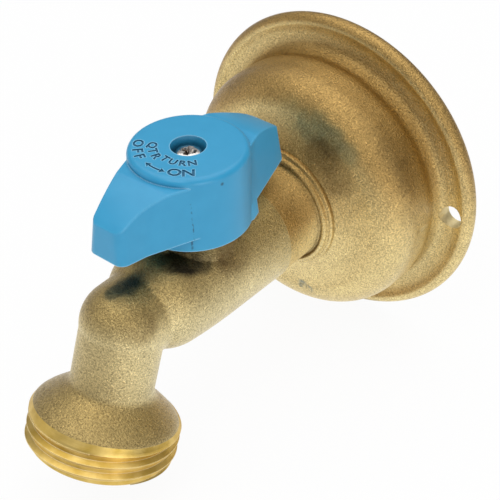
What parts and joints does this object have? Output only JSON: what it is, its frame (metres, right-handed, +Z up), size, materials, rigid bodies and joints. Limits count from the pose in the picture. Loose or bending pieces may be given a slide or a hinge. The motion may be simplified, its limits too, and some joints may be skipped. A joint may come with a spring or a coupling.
{
  "type": "hose bibb",
  "caption": "Quarter-turn brass hose bibb: domed wall bell with a push-to-connect tube socket, ball valve body, winged blue handle and angled hose-thread outlet.",
  "frame": {"origin": "centre of the wall bell's flat back face, where the tube comes out of the wall", "axes": "+Y points into the wall along the tube, +Z is up along the stem and the handle's axis, +X is to the right when facing the wall; the valve stands out along -Y"},
  "size_m": [0.0628, 0.082, 0.0628],
  "materials": {
    "cast_brass": "sand-cast and tumbled, grainy satin",
    "turned_brass": "turned, bright",
    "plated_ball": "polished",
    "ptfe": "smooth waxy",
    "epdm": "smooth matt",
    "blue_plastic": "moulded satin",
    "white_plastic": "moulded",
    "tan_plastic": "moulded satin",
    "steel": "zinc-plated, satin",
    "spring_steel": "stamped spring steel"
  },
  "bodies": {
    "faucet_body": {"wall_bell": "cast_brass", "valve_body": "cast_brass", "upstream_seat": "ptfe", "downstream_seat": "ptfe", "body_joint_o_ring": "epdm", "stem_thrust_washer": "ptfe", "tube_o_ring": "epdm", "o_ring_protector": "white_plastic", "grab_ring": "spring_steel", "socket_retainer": "turned_brass"},
    "handle_group": {"handle": "blue_plastic", "handle_screw": "steel", "screw_lock_washer": "steel", "stem": "turned_brass", "valve_ball": "plated_ball", "stem_o_ring_lower": "epdm", "stem_o_ring_upper": "epdm"},
    "release": {"release_collar": "tan_plastic"}
  },
  "joints": [
    {"name": "handle_turn", "type": "hinge", "parent": "faucet_body", "child": "handle_group", "pos_m": [0, -0.04345, 0], "axis": [0, 0, 1], "range_deg": [-90, 0]},
    {"name": "release_slide", "type": "slide", "parent": "faucet_body", "child": "release", "axis": [0, -1, 0], "range_m": [0, 0.0013]}
  ]
}
